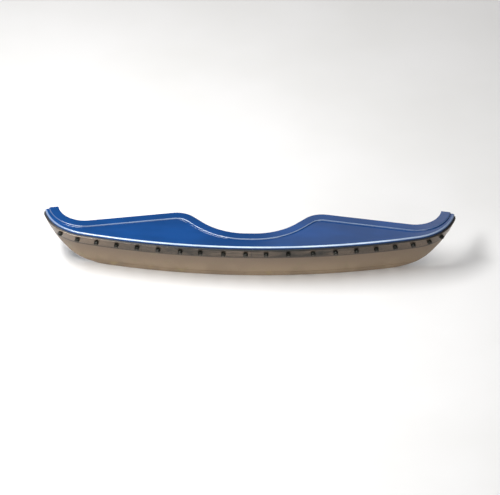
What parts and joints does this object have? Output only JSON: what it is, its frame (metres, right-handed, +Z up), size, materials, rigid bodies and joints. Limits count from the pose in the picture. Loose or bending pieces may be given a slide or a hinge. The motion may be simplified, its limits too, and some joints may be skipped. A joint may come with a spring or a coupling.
{
  "type": "splash skirt",
  "caption": "Bowed sheet-metal front panel with a raised rear flange, a wheel recess and a rubber skirt clamped along its front edge by a bolted strip.",
  "frame": {"origin": "middle of the bottom of the whole assembly's box, under the middle of the panel", "axes": "+X to the right seen from the front, along the length; -Y towards the skirt's front; +Z up, square to the flat of the panel"},
  "size_m": [1.0086, 0.1602, 0.118],
  "materials": {
    "painted_panel": "gloss enamel over pressed steel",
    "painted_gusset": "gloss enamel over steel plate",
    "skirt_rubber": "satin gum rubber",
    "seal_foam": "closed-cell foam",
    "strip_steel": "rolled stainless, lightly dulled",
    "stud_steel": "zinc plated",
    "nut_steel": "black oxide"
  },
  "bodies": {
    "root": {"top_panel": "painted_panel", "skirt": "skirt_rubber", "clamp_strip_left": "strip_steel", "clamp_strip_right": "strip_steel", "skirt_studs": "stud_steel", "skirt_washers": "nut_steel", "skirt_nuts": "nut_steel", "mount_studs": "stud_steel", "flange_seal": "seal_foam", "gusset_middle": "painted_gusset", "gusset_left_1": "painted_gusset", "gusset_left_2": "painted_gusset", "gusset_left_3": "painted_gusset", "gusset_left_4": "painted_gusset", "gusset_right_1": "painted_gusset", "gusset_right_2": "painted_gusset", "gusset_right_3": "painted_gusset", "gusset_right_4": "painted_gusset"}
  },
  "joints": []
}
